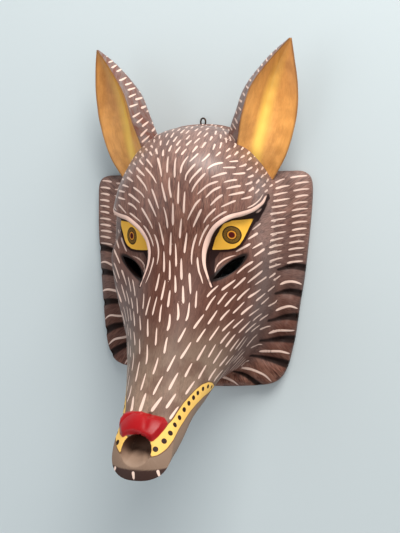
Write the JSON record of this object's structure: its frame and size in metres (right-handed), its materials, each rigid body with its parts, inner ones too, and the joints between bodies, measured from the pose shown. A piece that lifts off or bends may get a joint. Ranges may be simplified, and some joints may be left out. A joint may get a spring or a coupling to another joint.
{
  "type": "carved wooden wolf mask",
  "caption": "Painted wooden wolf face mask with a long snout, upright ears, a flat fur ruff, sight slits and a hollow back for the wearer's face.",
  "frame": {"origin": "middle of the bottom of the box round the whole mask, on the flat back that it lies on", "axes": "+X to the viewer's right across the face, +Y up the face towards the ears, +Z out of the back towards the nose"},
  "size_m": [0.223, 0.3892, 0.2064],
  "materials": {
    "painted_fur": "carved wood, brushed grey-brown paint with pinkish fur strokes under a satin varnish",
    "ear_paint": "carved wood, mottled gold-orange paint inside, fur paint behind, satin varnish",
    "loop_wire": "dark annealed wire, slightly rusty"
  },
  "bodies": {
    "root": {"mask_body": "painted_fur", "ear_right": "ear_paint", "ear_left": "ear_paint", "hanging_loop": "loop_wire"}
  },
  "joints": []
}
